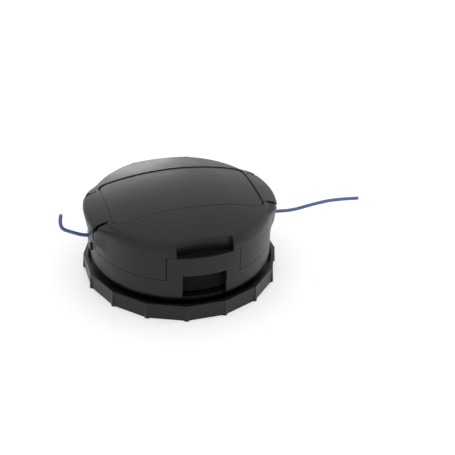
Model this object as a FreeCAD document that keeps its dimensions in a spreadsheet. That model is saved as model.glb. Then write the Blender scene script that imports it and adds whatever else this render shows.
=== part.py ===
"""Bump feed trimmer head: drum, drive core, line and spring, built in millimetres with +Z up."""
import math
import os
import re

import FreeCAD
import Part
from FreeCAD import Placement, Rotation, Vector

SIZES = {
    # drum
    "drum_radius": 51.35,
    "wall": 2.4,
    "drum_bottom": 9.0,
    "floor_thickness": 2.2,
    "apex_height": 52.6,
    "parting_drop": 7.4,
    "parting_gap": 0.2,
    "dome_sphere": 151.75,
    "rim_round": 6.0,
    "foot_round": 4.5,
    "skirt_gap": 0.3,
    "skirt_wall": 2.2,
    "skirt_rise": 2.8,
    "skirt_root": 3.6,
    # groove round the panel on the dome
    "panel_inset": 8.35,
    "panel_half_width": 22.5,
    "panel_corner": 5.0,
    "groove_width": 1.0,
    "groove_depth": 0.8,
    # hoods over the eyelets, narrowing towards the eyelet
    "hood_half_width": 15.9,
    "hood_waist": 9.3,
    "hood_depth": 6.15,
    "hood_rise": 3.05,
    "hood_foot": 0.2,
    "hood_round": 3.0,
    "flare_radius": 20.0,
    "flare_rise": 3.6,
    "slit_width": 1.3,
    "slit_rise": 11.0,
    "slit_depth": 1.9,
    # latches
    "latch_half_angle": 23.1,
    "latch_drop": 15.4,
    "latch_side_gap": 0.4,
    "latch_top_gap": 0.25,
    "backing": 1.6,
    "backing_half_width": 21.5,
    "backing_height": 8.2,
    "window_half_width": 12.1,
    "window_rise": 2.8,
    "window_gap": 0.4,
    "window_skin": 0.9,
    "scoop_half_width": 15.5,
    "scoop_depth": 1.3,
    "scoop_foot_inset": 6.45,
    "scoop_head_inset": 5.1,
    "rib_width": 1.8,
    "rib_proud": 0.8,
    "rib_gap": 0.4,
    "catch_half_width": 8.0,
    "catch_drop": 5.7,
    "catch_height": 2.2,
    "catch_reach": 1.7,
    "catch_gap": 0.35,
    # eyelets
    "eyelet_rise": 3.8,
    "eyelet_radius": 3.15,
    "eyelet_gap": 0.15,
    "eyelet_bore": 1.75,
    "eyelet_lip_radius": 4.3,
    "eyelet_lip": 1.7,
    "eyelet_round": 1.2,
    "eyelet_depth": 5.65,
    "eyelet_proud": 0.4,
    "mouth_depth": 1.2,
    "mouth_flare": 1.1,
    "saddle_proud": 1.2,
    "saddle_gap": 0.2,
    "saddle_root": 4.0,
    # winding knob
    "knob_sides": 16,
    "knob_overhang": 3.85,
    "knob_clearance": 1.15,
    "knob_height": 9.3,
    "knob_floor_bottom": 0.8,
    "knob_floor_top": 2.6,
    "knob_foot_width": 3.6,
    "nub_foot": 1.6,
    "nub_head": 0.9,
    "nub_proud": 0.8,
    "hub_radius": 22.0,
    "hub_top": 12.0,
    "post_radius": 12.2,
    "post_top": 20.0,
    "arrow_circle": 38.0,
    "arrow_size": 5.0,
    "arrow_depth": 0.5,
    # arbor insert and screws
    "insert_flats": 17.0,
    "insert_gap": 0.1,
    "insert_bottom": 1.0,
    "insert_top": 17.0,
    "thread_radius": 4.4,
    "thread_chamfer": 0.9,
    "thread_relief": 1.2,
    "screw_circle": 17.2,
    "screw_head_radius": 3.0,
    "screw_head": 2.0,
    "screw_head_gap": 0.3,
    "screw_radius": 1.5,
    "screw_top": 19.0,
    "screw_way_gap": 0.2,
    "screw_gap": 0.1,
    "screw_pilot_gap": 0.05,
    "screw_slot": 0.9,
    "screw_slot_length": 4.0,
    "screw_slot_depth": 1.0,
    # spool
    "spool_gap": 0.8,
    "spool_headroom": 16.2,
    "flange": 2.0,
    "floor_clear": 3.2,
    "core_gap": 0.3,
    "core_rise": 1.0,
    "spring_cup": 15.0,
    "cup_depth": 6.4,
    "channel_radius": 1.3,
    "channel_gap": 0.2,
    # indexing lugs
    "lug_inner": 27.0,
    "lug_outer": 33.0,
    "lug_angle": 8.0,
    "lug_play": 0.8,
    "floor_lug": 2.8,
    "spool_lug": 2.8,
    "ceiling_drop": 9.6,
    "sleeve_gap": 0.35,
    "sleeve_wall": 2.0,
    "sleeve_rise": 1.6,
    # spring and washer
    "spring_radius": 12.0,
    "spring_wire": 0.8,
    "spring_pitch": 3.7,
    "spring_gap": 0.1,
    "washer_radius": 14.5,
    "washer_bore": 8.0,
    "washer_drop": 6.0,
    "washer_thickness": 1.4,
    "washer_gap": 0.3,
    "washer_side_gap": 0.6,
    "boss_inset": 1.0,
    "fence_wall": 1.8,
    "fence_lap": 0.4,
    # line
    "line_radius": 1.0,
    "winding_inset": 4.5,
    "winding_gap": 0.2,
    # overlap of joined solids and overrun of cutting solids
    "weld": 0.5,
    "overrun": 1.0,
    "far_overrun": 5.0,
    "seam": 0.1,
}

# sizes that follow from those above
DERIVED = {
    "floor_top": "drum_bottom + floor_thickness",
    "parting_height": "(drum_bottom + apex_height) / 2 - parting_drop",
    "above": "apex_height + far_overrun",
    "bore_radius": "drum_radius - wall",
    "skirt_outer": "bore_radius - skirt_gap",
    "skirt_inner": "skirt_outer - skirt_wall",
    "skirt_bottom": "floor_top + skirt_rise",
    "panel_half_length": "drum_radius - panel_inset",
    "hood_radius": "drum_radius + hood_rise",
    "rib_radius": "drum_radius + rib_proud",
    "outside": "hood_radius + far_overrun",
    "flare_side": "hood_waist + flare_radius",
    "flare_height": "parting_height + flare_rise",
    "slit_foot": "parting_height + slit_rise",
    "slit_bend": "flare_height + sqrt(flare_radius ^ 2 - (flare_side - hood_half_width) ^ 2)",
    "latch_height": "apex_height - latch_drop",
    "scoop_floor": "latch_height - scoop_depth",
    "scoop_foot": "drum_radius - scoop_foot_inset",
    "scoop_head": "drum_radius - scoop_head_inset",
    "latch_back": "scoop_foot - backing",
    "backing_bottom": "latch_height - backing_height",
    "catch_bottom": "latch_height - catch_drop",
    "catch_inner": "skirt_outer - catch_reach",
    "window_top": "parting_height + window_rise",
    "eyelet_height": "parting_height + eyelet_rise",
    "eyelet_inner": "drum_radius - eyelet_depth",
    "eyelet_outer": "hood_radius + eyelet_proud",
    "lip_seat": "eyelet_outer - eyelet_lip - eyelet_gap",
    "knob_corner_radius": "drum_radius + knob_overhang",
    "knob_inner_radius": "drum_radius + knob_clearance",
    "nub_circle": "knob_corner_radius + nub_proud - nub_foot",
    "spool_radius": "latch_back - spool_gap",
    "winding_radius": "spool_radius - winding_inset",
    "flange_bottom": "floor_top + floor_clear",
    "spool_top": "apex_height - spool_headroom",
    "chamber": "(spool_top - flange_bottom - 3 * flange) / 2",
    "divider": "flange_bottom + flange + chamber",
    "top_flange": "spool_top - flange",
    "spring_seat": "spool_top - cup_depth",
    "sleeve_bore": "hub_radius + sleeve_gap",
    "washer_bottom": "apex_height - washer_drop",
    "washer_top": "washer_bottom + washer_thickness",
    "fence_bore": "washer_radius + washer_side_gap",
}

# route of each free line end from inside the drum to its cut tip: distance out from the drum's
# wall, sideways, and height over the eyelet's axis
LINE_RIGHT = [(-6.15, 0, 0), (5.15, 0, -0.3), (16.65, 0, -1.3), (28.65, 0, 0.9), (43.65, 0, 2.5),
              (58.65, 0, 1.0)]
LINE_LEFT = [(-7.75, 0, -0.1), (-2.15, 0.15, 0.1), (3.55, 0, 0.6), (9.85, 0, 3.5), (17.45, 0, 7.7),
             (15.55, 0, 15.7)]

# part of the shorter run that a bend of the line takes up
BEND_SHARE = 0.45
SCREW_ANGLES = (45, 135, 225, 315)
LUG_COUNT = 4

document = FreeCAD.newDocument("trimmer_head")
sheet = document.addObject("Spreadsheet::Sheet", "sizes")
cells = {alias: str(value) for alias, value in SIZES.items()}
cells.update({alias: "=" + text for alias, text in DERIVED.items()})
for row, (alias, content) in enumerate(cells.items(), 1):
    sheet.set(f"A{row}", alias)
    sheet.set(f"B{row}", content)
    sheet.setAlias(f"B{row}", alias)
document.recompute()


def size(alias):
    return float(sheet.get(alias))


def formula(text):
    """Expression text in which every size name refers to its sheet cell."""
    return re.sub(r"[a-z_]+", lambda m: "sizes." + m[0] if m[0] in cells else m[0], str(text))


def spin(degrees):
    return Rotation(Vector(0, 0, 1), degrees)


def span(side, low, high):
    """Range from low to high on the positive or the negative side of the middle."""
    return (low, high) if side > 0 else (f"-({high})", f"-({low})")


def both_ways(half):
    return (f"-({half})", half)


def shape(kind, name, at=(0, 0, 0), turn=None, **sizes):
    """Primitive whose sizes and position are bound to the sheet."""
    obj = document.addObject("Part::" + kind, name)
    if turn:
        obj.Placement = Placement(Vector(), turn)
    for prop, text in sizes.items():
        obj.setExpression(prop, formula(text))
    for axis, text in zip("xyz", at):
        obj.setExpression("Placement.Base." + axis, formula(text))
    return obj


def cylinder(name, radius, bottom, top):
    return shape("Cylinder", name, (0, 0, bottom), Radius=radius, Height=f"({top}) - ({bottom})")


def rod(name, radius, x, y, z):
    """Cylinder lying along X between the two given ends."""
    return shape("Cylinder", name, (x[0], y, z), Rotation(Vector(0, 1, 0), 90), Radius=radius,
                 Height=f"({x[1]}) - ({x[0]})")


def block(name, x, y, z):
    """Box between the given (low, high) pairs."""
    return shape("Box", name, (x[0], y[0], z[0]), Length=f"({x[1]}) - ({x[0]})",
                 Width=f"({y[1]}) - ({y[0]})", Height=f"({z[1]}) - ({z[0]})")


def fuse(name, parts):
    obj = document.addObject("Part::MultiFuse", name)
    obj.Shapes = parts
    return obj


def common(name, parts):
    obj = document.addObject("Part::MultiCommon", name)
    obj.Shapes = parts
    return obj


def cut(name, base, tools):
    obj = document.addObject("Part::Cut", name)
    obj.Base = base
    obj.Tool = tools[0] if len(tools) == 1 else fuse(name + "_tools", tools)
    return obj


def ring(name, inner, outer, bottom, top):
    hole = cylinder(name + "_hole", inner, f"{bottom} - overrun", f"{top} + overrun")
    return cut(name, cylinder(name + "_disc", outer, bottom, top), [hole])


def rounded(name, base, radius, wanted):
    """Base with the edges that pass the test rounded by a sheet size."""
    document.recompute()
    edges = [i for i, edge in enumerate(base.Shape.Edges, 1) if wanted(edge)]
    obj = document.addObject("Part::Fillet", name)
    obj.Base = base
    obj.Edges = [(i, size(radius), size(radius)) for i in edges]
    return obj


def is_circle(edge, radius):
    if edge.Degenerated or not hasattr(edge.Curve, "Radius"):
        return False
    return abs(edge.Curve.Radius - size(radius)) < size("seam")


def sector(name, radius, bottom, top, start, angle):
    return shape("Cylinder", name, (0, 0, bottom), spin(start), Radius=radius,
                 Height=f"({top}) - ({bottom})", Angle=angle)


def lugs(name, bottom, top, first):
    """Equal lugs on the indexing circle; first is the angle of the first lug's leading side."""
    step = 360 / LUG_COUNT
    parts = [sector(f"{name}_{i}", "lug_outer", bottom, top, first + step * i, "lug_angle")
             for i in range(LUG_COUNT)]
    core = cylinder(name + "_core", "lug_inner", f"{bottom} - overrun", f"{top} + overrun")
    return cut(name, fuse(name + "_sectors", parts), [core])


def on_screw_circle(angle):
    return f"screw_circle * cos({angle})", f"screw_circle * sin({angle})"


def make_winding_knob():
    sides = int(size("knob_sides"))
    prism = shape("Prism", "knob_prism", turn=spin(180 / sides), Polygon="knob_sides",
                  Circumradius="knob_corner_radius", Height="knob_height")
    nubs = []
    for i in range(sides):
        angle = 360 / sides * (i + 0.5)
        at = (f"nub_circle * cos({angle})", f"nub_circle * sin({angle})", 0)
        nubs.append(shape("Cone", f"nub_{i}", at, Radius1="nub_foot", Radius2="nub_head",
                          Height="knob_height"))
    well = cylinder("knob_well", "knob_inner_radius", "knob_floor_top", "knob_height + overrun")
    recess = cylinder("knob_recess", "knob_corner_radius - knob_foot_width", "-overrun",
                      "knob_floor_bottom")
    dish = cut("knob_dish", fuse("knob_body", [prism, *nubs]), [well, recess])
    hub = cylinder("knob_hub", "hub_radius", "knob_floor_bottom", "hub_top")
    post = cylinder("knob_post", "post_radius", "knob_floor_bottom", "post_top")
    socket = shape("Prism", "insert_socket", (0, 0, "-overrun"), Polygon=6,
                   Circumradius="insert_flats / sqrt(3)", Height="insert_top + overrun")
    relief = cylinder("insert_relief", "thread_radius + thread_relief", 0, "post_top + overrun")
    tools = [socket, relief]
    for angle in SCREW_ANGLES:
        at = (*on_screw_circle(angle), 0)
        tools.append(shape("Cylinder", f"screw_way_{angle}", at, Radius="screw_radius + screw_way_gap",
                           Height="hub_top + overrun"))
        tools.append(shape("Cylinder", f"screw_seat_{angle}", at, Radius="screw_head_radius + screw_head_gap",
                           Height="insert_bottom + screw_head + screw_gap"))
    for side, turn in ((1, 0), (-1, 180)):
        at = (f"{side} * arrow_circle", 0, "knob_floor_bottom - overrun")
        tools.append(shape("Prism", f"arrow_{turn}", at, spin(turn), Polygon=3, Circumradius="arrow_size",
                           Height="arrow_depth + overrun"))
    return cut("winding_knob", fuse("knob_solid", [dish, hub, post]), tools)


def make_arbor_insert():
    hexagon = shape("Prism", "insert_hexagon", (0, 0, "insert_bottom"), Polygon=6,
                    Circumradius="(insert_flats - 2 * insert_gap) / sqrt(3)",
                    Height="insert_top - insert_bottom")
    bore = cylinder("insert_bore", "thread_radius", 0, "insert_top + overrun")
    lead = shape("Cone", "insert_lead", (0, 0, "insert_bottom"), Radius1="thread_radius + thread_chamfer",
                 Radius2="thread_radius", Height="thread_chamfer")
    return cut("arbor_insert", hexagon, [bore, lead])


def make_spool_screws():
    screws = []
    for angle in SCREW_ANGLES:
        at = (*on_screw_circle(angle), "insert_bottom")
        head = shape("Cylinder", f"screw_head_{angle}", at, Radius="screw_head_radius", Height="screw_head")
        shank = shape("Cylinder", f"screw_shank_{angle}", at, Radius="screw_radius",
                      Height="screw_top - insert_bottom")
        slots = []
        for length, width in (("screw_slot_length", "screw_slot"), ("screw_slot", "screw_slot_length")):
            corner = (f"{at[0]} - {length} / 2", f"{at[1]} - {width} / 2", "insert_bottom - overrun")
            slots.append(shape("Box", f"slot_{angle}_{length}", corner, Length=length, Width=width,
                               Height="screw_slot_depth + overrun"))
        screws.append(cut(f"screw_{angle}", fuse(f"screw_body_{angle}", [head, shank]), slots))
    group = document.addObject("Part::Compound", "spool_screws")
    group.Links = screws
    return group


def make_spool():
    hub = cylinder("spool_hub", "hub_radius", "hub_top", "spool_top")
    flanges = [cylinder(f"spool_flange_at_{bottom}", "spool_radius", bottom, f"{bottom} + flange")
               for bottom in ("flange_bottom", "divider", "top_flange")]
    down = lugs("spool_lower_lugs", "flange_bottom - spool_lug", "flange_bottom + weld",
                size("lug_angle") + size("lug_play"))
    up = lugs("spool_upper_lugs", "spool_top - weld", "spool_top + spool_lug", 0)
    socket = cylinder("spool_socket", "post_radius + core_gap", 0, "post_top + core_rise")
    cup = cylinder("spool_cup", "spring_cup", "spring_seat", "spool_top + overrun")
    channel = rod("line_channel", "channel_radius", both_ways("hub_radius + overrun"), 0,
                  "divider - channel_radius - channel_gap")
    tools = [socket, cup, channel]
    for angle in SCREW_ANGLES:
        tools.append(shape("Cylinder", f"screw_pilot_{angle}", (*on_screw_circle(angle), 0),
                           Radius="screw_radius + screw_pilot_gap", Height="screw_top + weld"))
    return cut("spool", fuse("spool_solid", [hub, *flanges, down, up]), tools)


def make_winding(name, floor, ceiling):
    return ring(name, "hub_radius + winding_gap", "winding_radius", f"{floor} + winding_gap",
                f"{ceiling} - winding_gap")


def make_bump_spring():
    helix = document.addObject("Part::Helix", "spring_helix")
    helix.setExpression("Radius", formula("spring_radius"))
    helix.setExpression("Pitch", formula("spring_pitch"))
    helix.setExpression("Height", formula("washer_bottom - spring_seat - 2 * (spring_wire + spring_gap)"))
    wire = shape("Circle", "spring_section", ("spring_radius", 0, 0), Rotation(Vector(1, 0, 0), 90),
                 Radius="spring_wire")
    document.recompute()
    spring = document.addObject("Part::Sweep", "bump_spring")
    spring.Sections = [wire]
    spring.Spine = (helix, ["Edge1"])
    spring.Solid = True
    spring.Frenet = True
    spring.setExpression("Placement.Base.z", formula("spring_seat + spring_wire + spring_gap"))
    return spring


def make_thrust_washer():
    return ring("thrust_washer", "washer_bore", "washer_radius", "washer_bottom", "washer_top")


def dome(name, radius, inset, edge_round=None):
    """Round body under the dome's sphere, set in from it and with its rim rounded where asked."""
    body = cylinder(name + "_wall", radius, f"parting_height - ({inset})", "above")
    ball = shape("Sphere", name + "_ball", (0, 0, "apex_height - dome_sphere"),
                 Radius=f"dome_sphere - ({inset})")
    plain = common(name + "_plain", [body, ball])
    if edge_round is None:
        return plain

    def at_rim(edge):
        return is_circle(edge, radius) and edge.BoundBox.ZMin > size("eyelet_height")

    return rounded(name, plain, edge_round, at_rim)


def rounded_prism(name, inset):
    """Upright prism with rounded corners, set in from the panel's outline."""
    prism = block(name + "_block", both_ways(f"panel_half_length - {inset}"),
                  both_ways(f"panel_half_width - {inset}"), (f"parting_height - {inset}", f"above + {inset}"))

    def upright(edge):
        return edge.BoundBox.ZLength > size("far_overrun")

    return rounded(name, prism, "panel_corner", upright)


def make_hoods():
    """Visors that carry the dome out over the eyelets, with hollowed sides and a bevelled foot."""
    crown = dome("hood_crown", "hood_radius", 0, "hood_round")
    bevel = shape("Cone", "hood_bevel", (0, 0, "parting_height - overrun"), Height="above - parting_height",
                  Radius1="drum_radius + hood_foot - overrun",
                  Radius2="drum_radius + hood_foot - overrun + above - parting_height")
    sides = fuse("hood_blocks", [
        block(f"hood_block_{i}", span(side, "drum_radius - hood_depth", "outside"),
              both_ways("hood_half_width"), ("skirt_bottom", "above"))
        for i, side in enumerate((1, -1))])
    flares = [rod(f"hood_flare_{i}", "flare_radius", both_ways("outside + overrun"), f"{side} * flare_side",
                  "flare_height")
              for i, side in enumerate((1, -1))]
    return common("hoods", [crown, bevel, cut("hood_sides", sides, flares)])


def hood_slits():
    """Narrow grooves beside the hoods: an arc up the wall that runs out over the rim."""
    parts = []
    for i, side in enumerate((1, -1)):
        axis = (f"{side} * flare_side", "flare_height")
        near = rod(f"slit_near_{i}", "flare_radius + seam", both_ways("outside"), *axis)
        far = rod(f"slit_far_{i}", "flare_radius - slit_width", both_ways("outside + overrun"), *axis)
        tube = cut(f"slit_tube_{i}", near, [far])
        window = block(f"slit_window_{i}", both_ways("outside + overrun"),
                       span(side, "hood_waist - overrun", "hood_half_width + slit_width"),
                       ("slit_foot", "slit_bend"))
        parts.append(common(f"slit_arc_{i}", [tube, window]))
        parts.append(block(f"slit_top_{i}", both_ways("outside + overrun"),
                           span(side, "hood_half_width - seam", "hood_half_width + slit_width"),
                           ("slit_bend - slit_width", "above")))
    core = cylinder("slit_core", "drum_radius - slit_depth", 0, "above + overrun")
    return cut("hood_slits", fuse("slit_paths", parts), [core])


def panel_groove():
    bed = shape("Sphere", "groove_bed", (0, 0, "apex_height - dome_sphere"),
                Radius="dome_sphere - groove_depth")
    return cut("panel_groove", rounded_prism("groove_outside", "0"),
               [rounded_prism("groove_inside", "groove_width"), bed])


def scoop(name, side):
    """Thumb hollow over a latch, its back leaning outwards towards the dome."""
    height = "above - scoop_floor"
    near = span(-side, "scoop_foot", "outside")
    far = span(-side, "scoop_head", "outside")
    return shape("Wedge", name, (0, 0, "scoop_floor"), Rotation(Vector(1, 0, 0), 90),
                 Xmin="-scoop_half_width", Xmax="scoop_half_width", Ymin=0, Ymax=height,
                 Zmin=near[0], Zmax=near[1], X2min="-scoop_half_width", X2max="scoop_half_width",
                 Z2min=far[0], Z2max=far[1])


def latch_cuts(side):
    """Way for a latch tab in the cover, with its scoop, catch slot and the pocket behind the window."""
    tag = "rear" if side > 0 else "front"
    spare = math.degrees(size("latch_side_gap") / size("drum_radius"))
    slot = sector(f"{tag}_tab_slot", "drum_radius + overrun", "parting_height - overrun",
                  "latch_height + latch_top_gap", 90 * side - size("latch_half_angle") - spare,
                  f"2 * latch_half_angle + {2 * spare}")
    slot_core = cylinder(f"{tag}_slot_core", "skirt_outer + seam", "parting_height - far_overrun", "above")
    catch_slot = block(f"{tag}_catch_slot", both_ways("catch_half_width + catch_gap"),
                       span(side, "catch_inner - catch_gap", "drum_radius"),
                       ("catch_bottom - catch_gap", "catch_bottom + catch_height + catch_gap"))
    pocket = block(f"{tag}_pocket_block", both_ways("window_half_width"),
                   span(side, "skirt_inner - far_overrun", "skirt_outer + overrun"),
                   ("skirt_bottom - overrun", "window_top - window_gap"))
    pocket_core = cylinder(f"{tag}_pocket_core", "skirt_inner + window_skin", 0, "above")
    return [cut(f"{tag}_tab_way", slot, [slot_core]), scoop(f"{tag}_scoop", side), catch_slot,
            cut(f"{tag}_pocket", pocket, [pocket_core])]


def eyelet_cuts():
    """Seats of both eyelets and their lips in the cover, open downwards."""
    room = "eyelet_radius + eyelet_gap"
    lip_room = "eyelet_lip_radius + eyelet_gap"
    below = ("skirt_bottom - overrun", "eyelet_height")
    parts = [rod("eyelet_seats", room, both_ways("outside"), 0, "eyelet_height"),
             block("eyelet_ways", both_ways("outside"), both_ways(room), below)]
    for i, side in enumerate((1, -1)):
        x = span(side, "lip_seat", "outside + overrun")
        parts.append(rod(f"lip_seat_{i}", lip_room, x, 0, "eyelet_height"))
        parts.append(block(f"lip_way_{i}", x, both_ways(lip_room), below))
    core = cylinder("eyelet_core", "spool_radius", 0, "above")
    return cut("eyelet_room", fuse("eyelet_paths", parts), [core])


def make_dome_cover():
    envelope = dome("cover_envelope", "drum_radius", 0, "rim_round")
    shell = cut("cover_shell", envelope, [dome("cover_hollow", "bore_radius", "wall")])
    skirt = ring("skirt", "skirt_inner", "skirt_outer", "skirt_bottom", "backing_bottom + weld")
    root = ring("skirt_root", "skirt_inner + weld", "drum_radius - weld", "parting_height",
                "backing_bottom + 2 * weld")
    clearing = block("skirt_clearing", both_ways("outside"), both_ways("latch_back + weld"),
                     ("parting_height + skirt_root", "above"))
    rim = cut("cover_rim", fuse("rooted_skirt", [skirt, root]), [clearing])
    first_lug = -180 / LUG_COUNT - size("lug_play") - size("lug_angle")
    fittings = [
        lugs("ceiling_lugs", "apex_height - ceiling_drop", "above", first_lug),
        ring("washer_boss", "washer_bore + boss_inset", "washer_radius - weld", "washer_top + washer_gap",
             "above"),
        ring("washer_fence", "fence_bore", "fence_bore + fence_wall", "washer_bottom - fence_lap", "above")]
    rib_envelope = dome("rib_envelope", "rib_radius", 0, "rim_round")
    ribs = []
    cuts = [panel_groove(), hood_slits(), eyelet_cuts()]
    for i, side in enumerate((1, -1)):
        fittings.append(block(f"backing_{i}", both_ways("backing_half_width"),
                              span(side, "latch_back", "outside"), ("backing_bottom", "above")))
        for k, end in enumerate((1, -1)):
            x = span(end, "scoop_half_width - weld", "scoop_half_width + rib_width")
            rib = block(f"rib_block_{i}_{k}", x, span(side, "scoop_foot", "outside"),
                        ("latch_height + rib_gap", "above"))
            ribs.append(common(f"rib_{i}_{k}", [rib_envelope, rib]))
        cuts += latch_cuts(side)
    inside = common("cover_inside", [envelope, fuse("cover_fittings", fittings)])
    solid = fuse("cover_solid", [shell, rim, inside, make_hoods(), *ribs])
    return cut("dome_cover", solid, cuts)


def make_lower_housing():
    body = cylinder("housing_body", "drum_radius", "drum_bottom", "latch_height")

    def at_foot(edge):
        return is_circle(edge, "drum_radius") and edge.BoundBox.ZMax < size("floor_top")

    foot = rounded("housing_foot", body, "foot_round", at_foot)
    tabs = [sector(f"tab_{i}", "outside + overrun", "floor_top", "above + overrun",
                   90 * side - size("latch_half_angle"), "2 * latch_half_angle")
            for i, side in enumerate((1, -1))]
    clearing = cylinder("clearing_disc", "outside", "parting_height - parting_gap", "above")
    hollow = cylinder("housing_hollow", "bore_radius", "floor_top", "above + overrun")
    cup = cut("housing_cup", foot, [hollow, cut("tab_clearing", clearing, tabs)])
    sleeve = cylinder("housing_sleeve", "sleeve_bore + sleeve_wall", "drum_bottom", "floor_top + sleeve_rise")
    parts = [cup, sleeve, lugs("floor_lugs", "floor_top - weld", "floor_top + floor_lug", 0)]
    tools = [cylinder("housing_hole", "sleeve_bore", 0, "above")]
    for i, side in enumerate((1, -1)):
        parts.append(block(f"catch_{i}", both_ways("catch_half_width"),
                           span(side, "catch_inner", "drum_radius - wall / 2"),
                           ("catch_bottom", "catch_bottom + catch_height")))
        parts.append(block(f"saddle_{i}", span(side, "bore_radius + weld", "drum_radius + saddle_proud"),
                           both_ways("eyelet_radius - saddle_gap"),
                           ("parting_height - saddle_root", "eyelet_height")))
        opening = block(f"window_block_{i}", both_ways("window_half_width"),
                        span(side, "skirt_inner", "outside"), (0, "window_top"))
        core = cylinder(f"window_core_{i}", "skirt_outer + seam", "-overrun", "above")
        tools.append(cut(f"window_{i}", opening, [core]))
        tools.append(rod(f"saddle_lip_{i}", "eyelet_lip_radius + eyelet_gap",
                         span(side, "lip_seat", "outside + overrun"), 0, "eyelet_height"))
    tools.append(rod("saddle_round", "eyelet_radius + eyelet_gap", both_ways("outside"), 0, "eyelet_height"))
    return cut("lower_housing", fuse("housing_solid", parts), tools)


def make_eyelet(name, side):
    """Turned bush with a rounded outer lip and a belled mouth."""
    sideways = Rotation(Vector(0, 1, 0), 90 * side)

    def turned(kind, tag, start, **sizes):
        return shape(kind, f"{name}_{tag}", (f"{side} * ({start})", 0, "eyelet_height"), sideways, **sizes)

    barrel = turned("Cylinder", "barrel", "eyelet_inner", Radius="eyelet_radius",
                    Height="eyelet_outer - eyelet_inner - eyelet_lip / 2")
    lip = turned("Cylinder", "lip", "eyelet_outer - eyelet_lip", Radius="eyelet_lip_radius",
                 Height="eyelet_lip")

    def at_mouth(edge):
        outer = abs(edge.CenterOfMass.x) > size("eyelet_outer") - size("seam")
        return outer and is_circle(edge, "eyelet_lip_radius")

    body = rounded(f"{name}_body", fuse(f"{name}_solid", [barrel, lip]), "eyelet_round", at_mouth)
    bore = turned("Cylinder", "bore", "eyelet_inner - overrun", Radius="eyelet_bore",
                  Height="eyelet_outer - eyelet_inner + 2 * overrun")
    mouth = turned("Cone", "mouth", "eyelet_outer - mouth_depth", Radius1="eyelet_bore",
                   Radius2="eyelet_bore + mouth_flare", Height="mouth_depth + seam")
    return cut(name, body, [bore, mouth])


def make_line_end(name, side, route):
    """Round line along straight runs joined by tangent arcs."""
    points = [Vector(side * (size("drum_radius") + out), across, size("eyelet_height") + up)
              for out, across, up in route]
    edges = []
    start = points[0]
    for before, corner, after in zip(points, points[1:], points[2:]):
        back = (before - corner).normalize()
        ahead = (after - corner).normalize()
        half_turn = (math.pi - back.getAngle(ahead)) / 2
        trim = BEND_SHARE * min(before.distanceToPoint(corner), corner.distanceToPoint(after))
        radius = trim / math.tan(half_turn)
        first = corner + back * trim
        last = corner + ahead * trim
        middle = corner + (back + ahead).normalize() * (radius / math.cos(half_turn) - radius)
        edges.append(Part.makeLine(start, first))
        edges.append(Part.Arc(first, middle, last).toShape())
        print(name, "bend radius", round(radius, 1))
        start = last
    edges.append(Part.makeLine(start, points[-1]))
    path = Part.Wire(edges)
    section = Part.Wire(Part.makeCircle(size("line_radius"), points[0], points[1] - points[0]))
    line = document.addObject("Part::Feature", name)
    line.Shape = path.makePipeShell([section], True, True)
    print(name, "length", round(path.Length, 1))
    return line


nodes = [
    make_winding_knob(),
    make_spool(),
    make_arbor_insert(),
    make_spool_screws(),
    make_bump_spring(),
    make_winding("line_wound_lower", "flange_bottom + flange", "divider"),
    make_winding("line_wound_upper", "divider + flange", "top_flange"),
    make_thrust_washer(),
    make_dome_cover(),
    make_lower_housing(),
    make_eyelet("eyelet_right", 1),
    make_eyelet("eyelet_left", -1),
    make_line_end("line_end_right", 1, LINE_RIGHT),
    make_line_end("line_end_left", -1, LINE_LEFT),
]
document.recompute()
for obj in document.Objects:
    if "Invalid" in obj.State or "Error" in obj.State:
        raise RuntimeError(f"{obj.Name} is {obj.State}")
os.makedirs("parts", exist_ok=True)
for node in nodes:
    if node.Shape.isNull() or not node.Shape.isValid():
        raise RuntimeError(f"{node.Name} has no valid shape")
    node.Label = node.Name
    box = node.Shape.BoundBox
    print(node.Name, len(node.Shape.Solids), "solids", round(node.Shape.Volume), "mm3",
          [round(v, 2) for v in (box.XMin, box.YMin, box.ZMin, box.XMax, box.YMax, box.ZMax)])
    node.Shape.exportStep(f"parts/{node.Name}.step")
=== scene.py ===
"""Looks of the bump feed trimmer head: plastics, steel, line, studio and camera. Lengths in metres."""
import math

import bmesh
import bpy
from mathutils import Euler, Matrix, Vector


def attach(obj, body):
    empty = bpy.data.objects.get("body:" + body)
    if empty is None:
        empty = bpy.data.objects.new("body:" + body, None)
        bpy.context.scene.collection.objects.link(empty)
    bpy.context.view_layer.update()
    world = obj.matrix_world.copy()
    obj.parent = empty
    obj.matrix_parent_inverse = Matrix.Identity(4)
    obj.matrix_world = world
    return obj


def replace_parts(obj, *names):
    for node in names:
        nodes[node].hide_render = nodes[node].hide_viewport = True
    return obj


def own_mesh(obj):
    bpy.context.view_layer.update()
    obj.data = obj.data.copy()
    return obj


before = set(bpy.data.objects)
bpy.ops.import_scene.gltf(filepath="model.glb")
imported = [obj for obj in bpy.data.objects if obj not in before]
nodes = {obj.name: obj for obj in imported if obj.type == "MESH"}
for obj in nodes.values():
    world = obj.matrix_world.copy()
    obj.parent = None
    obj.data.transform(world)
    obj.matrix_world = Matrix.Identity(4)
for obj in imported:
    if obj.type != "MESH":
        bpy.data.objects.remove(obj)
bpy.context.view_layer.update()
MM = 0.001

# camera of the photograph
IMAGE_SIZE = 455
FOCAL_PIXELS = 952.2
AIM_PIXEL = (180.3, 222.7)
AIM_POINT = Vector((0, 0, 28 * MM))
CAMERA_DISTANCE = 541.4 * MM
CAMERA_AZIMUTH = -15.4
CAMERA_ELEVATION = 31.74
CAMERA_ROLL = 0.6
CAMERA_NEAR = 10 * MM
SENSOR = 36.0

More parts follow.
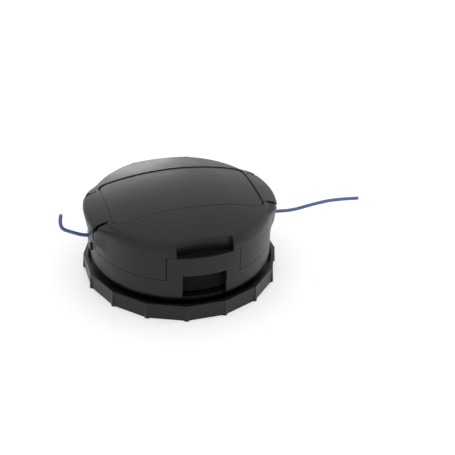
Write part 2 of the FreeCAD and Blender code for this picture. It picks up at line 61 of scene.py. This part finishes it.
# studio: floor, background, and lamps with their place, size and power in watts
FLOOR_SIZE = 6
FLOOR_DROP = 0.05 * MM
FLOOR_DARK = (0.8, 0.8, 0.8)
FLOOR_LIGHT = (0.84, 0.84, 0.84)
FLOOR_GLOW = 0.36
SKY_COLOUR = (0.97, 0.98, 1, 1)
SKY_STRENGTH = 0.9
BACKGROUND_COLOUR = (1, 1, 1, 1)
LAMPS = {
    "back": ((0.05, 0.98, 0.16), (0.35, 0.2), 1),
    "top_back": ((0.05, 0.68, 0.75), (0.5, 0.65), 0.22),
    "right_strip": ((0.75, -0.1, 0.25), (0.1, 0.5), 0.3),
}

# materials: band that most of a noise lies in, swing of the roughness, height of the grain
NOISE_BAND = (0.3, 0.7)
NOISE_ROUGHNESS = 0.55
EDGE_SAMPLES = 6
PLASTIC_SWING = (-0.04, 0.05)
PLASTIC_GRAIN = 0.03 * MM
STEEL_SWING = (-0.06, 0.08)
STEEL_SHADE = 0.85
STEEL_GRAIN = 0.01 * MM
STEEL_EDGE = 0.15 * MM
NYLON_DARK = (0.05, 0.09, 0.26)
NYLON_LIGHT = (0.075, 0.13, 0.33)
NYLON_ROUGHNESS = (0.3, 0.42)
NYLON_GRAIN = 0.01 * MM

# line, with the route of the solid model: distance out from the drum's wall, sideways, and height
# over the eyelet's axis, in millimetres
DRUM_RADIUS = 51.35
EYELET_HEIGHT = 27.2
LINE_RIGHT = [(-6.15, 0, 0), (5.15, 0, -0.3), (16.65, 0, -1.3), (28.65, 0, 0.9), (43.65, 0, 2.5),
              (58.65, 0, 1.0)]
LINE_LEFT = [(-7.75, 0, -0.1), (-2.15, 0.15, 0.1), (3.55, 0, 0.6), (9.85, 0, 3.5), (17.45, 0, 7.7),
             (15.55, 0, 15.7)]
LINE_DIAMETER = 2 * MM
LINE_BEVEL = 5
LINE_RESOLUTION = 24

# line wound on the spool: turns per layer, and layers apart by a share of the diameter
WOUND_TURNS = 2.75
WOUND_SEGMENTS = 56
WOUND_SIDES = 10
LAYER_STEP = 0.87

# thread in the arbor insert: half widths at root and crest, and how deep the root is set in
THREAD_PITCH = 1.25 * MM
THREAD_DEPTH = 0.45 * MM
THREAD_SEGMENTS = 40
THREAD_ROOT = 0.4 * THREAD_PITCH
THREAD_CREST = 0.2 * THREAD_ROOT
THREAD_BED = 0.2 * THREAD_DEPTH

# meshes: points that count as one, and angle between faces that counts as an edge
WELD = 0.001 * MM
SHARP_ANGLE = math.radians(30)

# hoods over the eyelets: they flare upwards in an arc, and lean in below the dome's shoulder
HOOD_RADIUS = 54.4 * MM
HOOD_SHOULDER = 41 * MM
HOOD_LEAN = 0.18
HOOD_FOOT = 51.37 * MM
HOOD_REACH = 17 * MM
HOOD_WAIST = 9.3 * MM
HOOD_HALF_WIDTH = 15.9 * MM
FLARE_RADIUS = 20 * MM
FLARE_HEIGHT = 27 * MM

# slits beside the hoods, from their foot through a bend to the dome's shoulder
SLIT_WIDTH = 1.3 * MM
SLIT_FOOT = 34.4 * MM
SLIT_BEND = (40.5 * MM, 41.25 * MM)
SLIT_START = 44.5 * MM
SLIT_END = 56 * MM
SLIT_FLOOR = 43.3 * MM
SLIT_TOP = 56 * MM

# cheeks: wall that swells out beside the hoods, with a soft valley below each slit; the wall is cut
# into steps, in levels from the foot and columns from the hood's middle
CHEEK_RISE = 2.8 * MM
CHEEK_TAPER = 0.12
CHEEK_REACH = 11 * MM
CHEEK_FOOT = (25.6 * MM, 30.6 * MM)
CHEEK_TOP = 46 * MM
CHEEK_BED = 49.45 * MM
CHEEK_SKIN = 0.5 * MM
CHEEK_STEP = 0.8 * MM
CHEEK_LEVELS = range(25)
CHEEK_COLUMNS = range(12, 39)
VALLEY_WIDTH = 2.5 * SLIT_WIDTH
VALLEY_END = 1.5 * SLIT_WIDTH

# panel on the dome and the groove round it
DOME_SPHERE = 151.75 * MM
DOME_CENTRE = -99.15 * MM
PANEL_HALF_LENGTH = 42 * MM
PANEL_HALF_WIDTH = 21.5 * MM
PANEL_CORNER = 5 * MM
PANEL_DEPTH = 0.4 * MM
PANEL_PLAY = 0.1 * MM
GROOVE_CUT = 0.8 * MM
GROOVE_WIDTH = 1 * MM
GROOVE_DEPTH = 0.6 * MM

# skirt behind the latch windows, and eyelets in their seats
# the skirt's radius and top also bound the cover's faces that get painted shade
SKIRT_RADIUS = 48.4 * MM
SKIRT_TOP = 30 * MM
LIP_SEAT = 52.95 * MM
LIP_ROOM = 4.6 * MM
EYELET_SINK = 2.2 * MM


def principled(name, **values):
    """New node material; returns the material, its node tree and its shader."""
    material = bpy.data.materials.new(name)
    material.use_nodes = True
    tree = material.node_tree
    shader = tree.nodes["Principled BSDF"]
    for socket, value in values.items():
        shader.inputs[socket.replace("_", " ")].default_value = value
    return material, tree, shader


def noise(tree, scale, detail):
    """Noise over the object's own coordinates; scale is features per metre."""
    where = tree.nodes.new("ShaderNodeTexCoord")
    texture = tree.nodes.new("ShaderNodeTexNoise")
    texture.inputs["Scale"].default_value = scale
    texture.inputs["Detail"].default_value = detail
    texture.inputs["Roughness"].default_value = NOISE_ROUGHNESS
    tree.links.new(where.outputs["Object"], texture.inputs["Vector"])
    return texture.outputs["Fac"]


def ramp(tree, source, low, high):
    """Colour that runs from low to high as the source rises."""
    node = tree.nodes.new("ShaderNodeValToRGB")
    for element, position, colour in zip(node.color_ramp.elements, NOISE_BAND, (low, high)):
        element.position = position
        element.color = (*colour, 1)
    tree.links.new(source, node.inputs["Fac"])
    return node.outputs["Color"]


def spread(tree, source, low, high):
    """Number that runs from low to high as the source rises."""
    node = tree.nodes.new("ShaderNodeMapRange")
    node.inputs["From Min"].default_value = NOISE_BAND[0]
    node.inputs["From Max"].default_value = NOISE_BAND[1]
    node.inputs["To Min"].default_value = low
    node.inputs["To Max"].default_value = high
    tree.links.new(source, node.inputs["Value"])
    return node.outputs["Result"]


def vary(tree, shader, cloud, colours, roughness):
    """Colour and roughness that change together, each between two values."""
    tree.links.new(ramp(tree, cloud, *colours), shader.inputs["Base Color"])
    tree.links.new(spread(tree, cloud, *roughness), shader.inputs["Roughness"])


def bump(tree, shader, source, height, strength, edge=0.0):
    """Surface relief, over edges that are softened by the given radius."""
    relief = tree.nodes.new("ShaderNodeBump")
    relief.inputs["Distance"].default_value = height
    relief.inputs["Strength"].default_value = strength
    tree.links.new(source, relief.inputs["Height"])
    if edge:
        soft = tree.nodes.new("ShaderNodeBevel")
        soft.samples = EDGE_SAMPLES
        soft.inputs["Radius"].default_value = edge
        tree.links.new(soft.outputs["Normal"], relief.inputs["Normal"])
    tree.links.new(relief.outputs["Normal"], shader.inputs["Normal"])


def moulded_plastic(name, dark, light, roughness, edge, gloss):
    """Plastic with faint clouds, the fine grain of a mould and softened edges."""
    material, tree, shader = principled(name, IOR=1.4, Specular_IOR_Level=gloss)
    swing = [roughness + change for change in PLASTIC_SWING]
    vary(tree, shader, noise(tree, scale=60, detail=3), (dark, light), swing)
    bump(tree, shader, noise(tree, scale=2600, detail=2), PLASTIC_GRAIN, strength=0.5, edge=edge)
    return material


def plated_steel(name, colour, roughness):
    """Steel with uneven plating."""
    material, tree, shader = principled(name, Metallic=1.0)
    shade = [STEEL_SHADE * channel for channel in colour]
    swing = [roughness + change for change in STEEL_SWING]
    vary(tree, shader, noise(tree, scale=250, detail=4), (shade, colour), swing)
    bump(tree, shader, noise(tree, scale=3000, detail=2), STEEL_GRAIN, strength=0.5, edge=STEEL_EDGE)
    return material


def nylon_line(name):
    """Blue line with a slight gloss."""
    material, tree, shader = principled(name, IOR=1.53, Coat_Weight=0.2, Coat_Roughness=0.2)
    vary(tree, shader, noise(tree, scale=180, detail=3), (NYLON_DARK, NYLON_LIGHT), NYLON_ROUGHNESS)
    bump(tree, shader, noise(tree, scale=1500, detail=2), NYLON_GRAIN, strength=0.4)
    return material


def dress(node, material):
    """New material for a node that keeps its shape."""
    mesh = nodes[node].data
    mesh.materials.clear()
    mesh.materials.append(material)


def add_object(name, data):
    """New object in the scene."""
    thing = bpy.data.objects.new(name, data)
    bpy.context.scene.collection.objects.link(thing)
    return thing


def mesh_object(name, mesh):
    """New object with a finished mesh, which is freed."""
    data = bpy.data.meshes.new(name)
    mesh.to_mesh(data)
    mesh.free()
    return add_object(name, data)


def welded_copy(node):
    """The node's mesh with its seams closed, for reshaping."""
    mesh = bmesh.new()
    mesh.from_mesh(nodes[node].data)
    bmesh.ops.remove_doubles(mesh, verts=mesh.verts, dist=WELD)
    return mesh


def add_piece(name, mesh, node, body, materials):
    """Piece that stands for a node of the solid model."""
    piece = mesh_object(name, mesh)
    data = piece.data
    if "custom_normal" in data.attributes:
        data.attributes.remove(data.attributes["custom_normal"])
    data.shade_smooth()
    data.set_sharp_from_angle(angle=SHARP_ANGLE)
    data.materials.clear()
    for material in materials:
        data.materials.append(material)
    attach(piece, body)
    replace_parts(piece, node)
    return piece


def apply_modifiers(piece):
    """The piece's modifiers made part of its mesh."""
    graph = bpy.context.evaluated_depsgraph_get()
    plain = piece.data
    piece.data = bpy.data.meshes.new_from_object(piece.evaluated_get(graph))
    piece.modifiers.clear()
    bpy.data.meshes.remove(plain)


def smooth_step(value):
    """Rise from 0 to 1 with an easy start and end."""
    value = min(max(value, 0), 1)
    return value * value * (3 - 2 * value)


def flare_edge(height, radius):
    """Half width of a hood, or of the slits beside it, at a height."""
    rise = min(max(height - FLARE_HEIGHT, 0), radius)
    return HOOD_WAIST + FLARE_RADIUS - math.sqrt(radius ** 2 - rise ** 2)


def past_hood(place):
    """Distance along the wall from the slit beside a hood."""
    return abs(place.y) - min(flare_edge(place.z, FLARE_RADIUS), HOOD_HALF_WIDTH) - SLIT_WIDTH


def lean_hoods(mesh):
    """Hoods that lean in towards the eyelets, and the eyelets' seats set in with them."""
    for vert in mesh.verts:
        if vert.co.z >= HOOD_SHOULDER:
            continue
        radius = math.hypot(vert.co.x, vert.co.y)
        limit = max(HOOD_FOOT, HOOD_RADIUS - HOOD_LEAN * (HOOD_SHOULDER - vert.co.z))
        if abs(abs(vert.co.x) - LIP_SEAT) < WELD and abs(vert.co.y) < LIP_ROOM:
            vert.co.x *= 1 - EYELET_SINK / LIP_SEAT
        elif abs(vert.co.y) < HOOD_REACH and radius > limit:
            vert.co.x *= limit / radius
            vert.co.y *= limit / radius


def straighten_slits(mesh):
    """Outer edges of the slits, on one arc through the bend below the dome's shoulder."""
    for vert in mesh.verts:
        arc = flare_edge(vert.co.z, FLARE_RADIUS - SLIT_WIDTH)
        near = HOOD_HALF_WIDTH < arc < abs(vert.co.y) < HOOD_HALF_WIDTH + SLIT_WIDTH + WELD
        if near and SLIT_BEND[0] < vert.co.z < SLIT_BEND[1]:
            vert.co.y = math.copysign(arc, vert.co.y)


def on_cheek(place):
    """Whether a place lies on the wall that swells, or a step past its edges."""
    outside = math.hypot(place.x, place.y) > CHEEK_BED
    in_height = CHEEK_FOOT[0] - CHEEK_STEP < place.z < CHEEK_TOP
    return outside and in_height and -2 * SLIT_WIDTH < past_hood(place) < CHEEK_REACH + CHEEK_STEP


def touches_cheek(face):
    """Whether a face has its middle or a corner on the wall that swells."""
    return on_cheek(face.calc_center_median()) or any(on_cheek(vert.co) for vert in face.verts)


def divide_wall(mesh):
    """Wall beside the hoods, cut into small faces by level and upright planes."""
    cuts = [(Vector((0, 0, CHEEK_FOOT[0] + i * CHEEK_STEP)), Vector((0, 0, 1))) for i in CHEEK_LEVELS]
    for side in (-1, 1):
        cuts += [(Vector((0, side * i * CHEEK_STEP, 0)), Vector((0, 1, 0))) for i in CHEEK_COLUMNS]
    for point, normal in cuts:
        faces = [face for face in mesh.faces if touches_cheek(face)]
        edges = dict.fromkeys(edge for face in faces for edge in face.edges)
        verts = dict.fromkeys(vert for face in faces for vert in face.verts)
        parts = [*faces, *edges, *verts]
        bmesh.ops.bisect_plane(mesh, geom=parts, dist=WELD, plane_co=point, plane_no=normal)


def cheek_rise(radius, away, height):
    """How far the wall swells: sharp beside a slit, in a soft valley below it, not at all inside it."""
    if height > SLIT_FOOT + WELD and away < -WELD:
        return 0
    low, high = CHEEK_FOOT
    foot = smooth_step((height - low) / (high - low))
    taper = 1 - CHEEK_TAPER * smooth_step((HOOD_SHOULDER - height) / (HOOD_SHOULDER - high))
    skin = min((radius - CHEEK_BED) / CHEEK_SKIN, 1)
    valley = smooth_step((away + SLIT_WIDTH) / VALLEY_WIDTH)
    side = valley + (1 - valley) * smooth_step((height - SLIT_FOOT) / VALLEY_END)
    return CHEEK_RISE * taper * foot * skin * side * (1 - smooth_step(away / CHEEK_REACH))


def flare_cheeks(mesh):
    """Wall that swells out to the hoods on both sides of them."""
    straighten_slits(mesh)
    divide_wall(mesh)
    for vert in mesh.verts:
        radius = math.hypot(vert.co.x, vert.co.y)
        away = past_hood(vert.co)
        if radius > CHEEK_BED and -SLIT_WIDTH < away < CHEEK_REACH and vert.co.z < CHEEK_TOP:
            rise = cheek_rise(radius, away, vert.co.z)
            vert.co.x *= 1 + rise / radius
            vert.co.y *= 1 + rise / radius


def past_panel(place):
    """Distance outside the panel's rounded outline, seen from above; below zero within it."""
    aside = abs(place.x) - PANEL_HALF_LENGTH + PANEL_CORNER
    along = abs(place.y) - PANEL_HALF_WIDTH + PANEL_CORNER
    return math.hypot(max(aside, 0), max(along, 0)) + min(max(aside, along), 0) - PANEL_CORNER


def sink_panel(mesh):
    """Panel on the dome, let in by a low step, with a fine groove left along the step."""
    for vert in mesh.verts:
        beyond = past_panel(vert.co)
        across = vert.co.x ** 2 + vert.co.y ** 2
        depth = DOME_SPHERE - math.sqrt(across + (vert.co.z - DOME_CENTRE) ** 2)
        if abs(depth) < PANEL_PLAY and beyond < PANEL_PLAY:
            bed = DOME_SPHERE - PANEL_DEPTH
        elif abs(depth - GROOVE_CUT) < PANEL_PLAY and beyond < GROOVE_WIDTH + PANEL_PLAY:
            bed = DOME_SPHERE - GROOVE_DEPTH
        else:
            continue
        vert.co.z = DOME_CENTRE + math.sqrt(bed ** 2 - across)


def slit_cutter():
    """Four blocks that carry the slits beside the hoods in over the dome's shoulder."""
    mesh = bmesh.new()
    low = Vector((SLIT_START, HOOD_HALF_WIDTH, SLIT_FLOOR))
    high = Vector((SLIT_END, HOOD_HALF_WIDTH + SLIT_WIDTH, SLIT_TOP))
    middle = (low + high) / 2
    size = Matrix.Diagonal((*(high - low), 1))
    for x in (-1, 1):
        for y in (-1, 1):
            place = Matrix.Translation((x * middle.x, y * middle.y, middle.z))
            bmesh.ops.create_cube(mesh, size=1, matrix=place @ size)
    return mesh_object("slit_cutter", mesh)


def shape_cover(skin, inside):
    """Dome cover with its hoods, cheeks, panel and slits, and painted shade on the faces behind the
    latch windows.
    """
    mesh = welded_copy("dome_cover")
    lean_hoods(mesh)
    flare_cheeks(mesh)
    sink_panel(mesh)
    cover = add_piece("dome_cover_shell", mesh, "dome_cover", "drum", [skin, inside])
    cutter = slit_cutter()
    cut = cover.modifiers.new("slits", "BOOLEAN")
    cut.operation = "DIFFERENCE"
    cut.object = cutter
    cover.modifiers.new("normals", "WEIGHTED_NORMAL").keep_sharp = True
    apply_modifiers(cover)
    bpy.data.objects.remove(cutter)
    # painted shade: faces within the skirt's radius and below its top get the darker, duller plastic
    for face in cover.data.polygons:
        in_painted_shade = math.hypot(face.center.x, face.center.y) < SKIRT_RADIUS and face.center.z < SKIRT_TOP
        face.material_index = 1 if in_painted_shade else 0


def sink_eyelet(node, side, material):
    """Eyelet set in as far as the leaning hood."""
    mesh = welded_copy(node)
    bmesh.ops.translate(mesh, verts=mesh.verts, vec=(-side * EYELET_SINK, 0, 0))
    add_piece(node + "_sunk", mesh, node, "drum", [material])


def load_spring(material):
    """Spring as a piece with a mesh of its own on the drive core; on the real head it shortens by the
    drum's travel when bumped.
    """
    mesh = welded_copy("bump_spring")
    spring = add_piece("bump_spring_coil", mesh, "bump_spring", "drive_core", [material])
    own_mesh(spring)


def make_line(name, node, side, route, material):
    """Free line end on a smooth curve along the solid model's route."""
    places = []
    for out, across, up in route:
        places.append(Vector((side * (DRUM_RADIUS + out), across, EYELET_HEIGHT + up)) * MM)
    curve = bpy.data.curves.new(name, "CURVE")
    curve.dimensions = "3D"
    curve.bevel_depth = LINE_DIAMETER / 2
    curve.bevel_resolution = LINE_BEVEL
    curve.resolution_u = LINE_RESOLUTION
    curve.use_fill_caps = True
    spline = curve.splines.new("NURBS")
    spline.points.add(len(places) - 1)
    for point, place in zip(spline.points, places):
        point.co = (*place, 1)
    spline.order_u = 3
    spline.use_endpoint_u = True
    curve.materials.append(material)
    line = add_object(name, curve)
    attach(line, "drum")
    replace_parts(line, node)


def sweep(name, path, outline, body, material):
    """Solid strand that carries a closed outline (out, up) along a path of (angle, radius, height)."""
    mesh = bmesh.new()
    rings = []
    for angle, radius, height in path:
        east = math.cos(angle)
        north = math.sin(angle)
        ring = [((radius + out) * east, (radius + out) * north, height + up) for out, up in outline]
        rings.append([mesh.verts.new(place) for place in ring])
    for near, far in zip(rings, rings[1:]):
        for i in range(len(outline)):
            k = (i + 1) % len(outline)
            mesh.faces.new((near[i], near[k], far[k], far[i]))
    mesh.faces.new(reversed(rings[0]))
    mesh.faces.new(rings[-1])
    bmesh.ops.recalc_face_normals(mesh, faces=mesh.faces)
    for face in mesh.faces:
        face.smooth = True
    strand = mesh_object(name, mesh)
    strand.data.materials.append(material)
    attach(strand, body)
    return strand


def ring_limits(node):
    """Least and greatest radius and height of a node about the head's axis."""
    points = [vert.co for vert in nodes[node].data.vertices]
    radii = [math.hypot(point.x, point.y) for point in points]
    heights = [point.z for point in points]
    return min(radii), max(radii), min(heights), max(heights)


def wind_line(name, node, material):
    """Line wound in layers between two flanges, to and fro, in place of the solid model's plain ring."""
    inner, outer, low, high = ring_limits(node)
    half = LINE_DIAMETER / 2
    depth = outer - inner - LINE_DIAMETER
    width = high - low - LINE_DIAMETER
    layers = 1 + int(depth / (LAYER_STEP * LINE_DIAMETER))
    steps = int(WOUND_TURNS * WOUND_SEGMENTS)
    path = []
    for layer in range(layers):
        radius = inner + half + depth * layer / (layers - 1)
        for step in range(steps):
            way = step / steps if layer % 2 == 0 else 1 - step / steps
            angle = math.tau * (layer * WOUND_TURNS + step / WOUND_SEGMENTS)
            path.append((angle, radius, low + half + width * way))
    turns = [math.tau * i / WOUND_SIDES for i in range(WOUND_SIDES)]
    outline = [(half * math.cos(turn), half * math.sin(turn)) for turn in turns]
    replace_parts(sweep(name, path, outline, "drive_core", material), node)


def cut_thread(name, material):
    """Thread ridge along the bore of the arbor insert."""
    limits = ring_limits("arbor_insert")
    bore = limits[0]
    low = limits[2] + THREAD_PITCH
    high = limits[3] - THREAD_PITCH
    steps = int((high - low) / THREAD_PITCH * THREAD_SEGMENTS)
    path = []
    for i in range(steps + 1):
        path.append((-math.tau * i / THREAD_SEGMENTS, bore, low + (high - low) * i / steps))
    outline = [(THREAD_BED, -THREAD_ROOT), (THREAD_BED, THREAD_ROOT), (-THREAD_DEPTH, THREAD_CREST),
               (-THREAD_DEPTH, -THREAD_CREST)]
    sweep(name, path, outline, "drive_core", material)


def make_camera():
    """Camera at the photograph's viewing angle."""
    azimuth = math.radians(CAMERA_AZIMUTH)
    elevation = math.radians(CAMERA_ELEVATION)
    back = Vector((math.sin(azimuth) * math.cos(elevation), -math.cos(azimuth) * math.cos(elevation),
                   math.sin(elevation)))
    data = bpy.data.cameras.new("camera")
    data.sensor_fit = "HORIZONTAL"
    data.sensor_width = SENSOR
    data.lens = FOCAL_PIXELS / IMAGE_SIZE * SENSOR
    data.clip_start = CAMERA_NEAR
    camera = add_object("camera", data)
    camera.location = AIM_POINT + back * CAMERA_DISTANCE
    camera.rotation_mode = "QUATERNION"
    aim = (-back).to_track_quat("-Z", "Y")
    right = math.atan((IMAGE_SIZE / 2 - AIM_PIXEL[0]) / FOCAL_PIXELS)
    down = math.atan((IMAGE_SIZE / 2 - AIM_PIXEL[1]) / FOCAL_PIXELS)
    roll = Euler((0, 0, math.radians(CAMERA_ROLL))).to_quaternion()
    camera.rotation_quaternion = aim @ Euler((-down, -right, 0)).to_quaternion() @ roll
    bpy.context.scene.camera = camera


def seen_directly(tree):
    """1 for rays that show the background itself, in the picture or in a mirror."""
    path = tree.nodes.new("ShaderNodeLightPath")
    most = path.outputs["Is Camera Ray"]
    for ray in ("Is Glossy Ray", "Is Transmission Ray"):
        larger = tree.nodes.new("ShaderNodeMath")
        larger.operation = "MAXIMUM"
        tree.links.new(most, larger.inputs[0])
        tree.links.new(path.outputs[ray], larger.inputs[1])
        most = larger.outputs[0]
    return most


def make_world():
    """Even light from all round, and white where the background itself is seen."""
    world = bpy.data.worlds.new("studio")
    bpy.context.scene.world = world
    world.use_nodes = True
    tree = world.node_tree
    sky = tree.nodes["Background"]
    sky.inputs["Color"].default_value = SKY_COLOUR
    sky.inputs["Strength"].default_value = SKY_STRENGTH
    white = tree.nodes.new("ShaderNodeBackground")
    white.inputs["Color"].default_value = BACKGROUND_COLOUR
    mix = tree.nodes.new("ShaderNodeMixShader")
    tree.links.new(seen_directly(tree), mix.inputs["Fac"])
    tree.links.new(sky.outputs[0], mix.inputs[1])
    tree.links.new(white.outputs[0], mix.inputs[2])
    tree.links.new(mix.outputs[0], tree.nodes["World Output"].inputs["Surface"])


def make_floor():
    """Pale floor that is lifted to white where it is seen, and keeps the head's shadow."""
    bpy.ops.mesh.primitive_plane_add(size=FLOOR_SIZE, location=(0, 0, -FLOOR_DROP))
    floor = bpy.context.object
    floor.name = "floor"
    material, tree, shader = principled("floor", Roughness=0.9)
    shades = ramp(tree, noise(tree, scale=4, detail=4), FLOOR_DARK, FLOOR_LIGHT)
    tree.links.new(shades, shader.inputs["Base Color"])
    glow = tree.nodes.new("ShaderNodeEmission")
    strength = tree.nodes.new("ShaderNodeMath")
    strength.operation = "MULTIPLY"
    strength.inputs[1].default_value = FLOOR_GLOW
    tree.links.new(seen_directly(tree), strength.inputs[0])
    tree.links.new(strength.outputs[0], glow.inputs["Strength"])
    add = tree.nodes.new("ShaderNodeAddShader")
    tree.links.new(shader.outputs[0], add.inputs[0])
    tree.links.new(glow.outputs[0], add.inputs[1])
    tree.links.new(add.outputs[0], tree.nodes["Material Output"].inputs["Surface"])
    floor.data.materials.append(material)


def soft_box(name, place, size, power):
    """Rectangular lamp that faces the head."""
    data = bpy.data.lights.new(name, "AREA")
    data.shape = "RECTANGLE"
    data.size, data.size_y = size
    data.energy = power
    lamp = add_object(name, data)
    lamp.location = place
    lamp.rotation_mode = "QUATERNION"
    lamp.rotation_quaternion = (AIM_POINT - lamp.location).to_track_quat("-Z", "Y")


# finishes
black = moulded_plastic("black_plastic", dark=(0.005, 0.005, 0.006), light=(0.007, 0.007, 0.0085),
                        roughness=0.38, edge=0.45 * MM, gloss=0.5)
# painted shade: darker, duller plastic for the cover's faces behind the latch windows
painted_shade_black = moulded_plastic("painted_shade_plastic", dark=(0.004, 0.004, 0.0045), light=(0.006, 0.006, 0.0065),
                              roughness=0.6, edge=0.45 * MM, gloss=0.12)
inner_black = moulded_plastic("spool_plastic", dark=(0.008, 0.008, 0.008), light=(0.012, 0.012, 0.012),
                              roughness=0.45, edge=0.3 * MM, gloss=0.5)
steel = plated_steel("plated_steel", colour=(0.6, 0.6, 0.61), roughness=0.3)
# darker steel for the eyelets, which dims their reflection
dark_steel = plated_steel("dark_steel", colour=(0.2, 0.2, 0.21), roughness=0.36)
blue = nylon_line("blue_line")

# the head
for node in ("winding_knob", "lower_housing"):
    dress(node, black)
shape_cover(black, painted_shade_black)
dress("spool", inner_black)
for node in ("arbor_insert", "spool_screws", "thrust_washer"):
    dress(node, steel)
load_spring(steel)
sink_eyelet("eyelet_left", -1, dark_steel)
sink_eyelet("eyelet_right", 1, dark_steel)
for node in ("line_wound_lower", "line_wound_upper"):
    wind_line(node + "_turns", node, blue)
cut_thread("insert_thread", steel)
make_line("line_end_right_curve", "line_end_right", 1, LINE_RIGHT, blue)
make_line("line_end_left_curve", "line_end_left", -1, LINE_LEFT, blue)

# the studio
make_world()
make_floor()
for lamp_name, (lamp_place, lamp_size, lamp_power) in LAMPS.items():
    soft_box(lamp_name, lamp_place, lamp_size, lamp_power)
make_camera()
bpy.context.scene.view_settings.view_transform = "Standard"
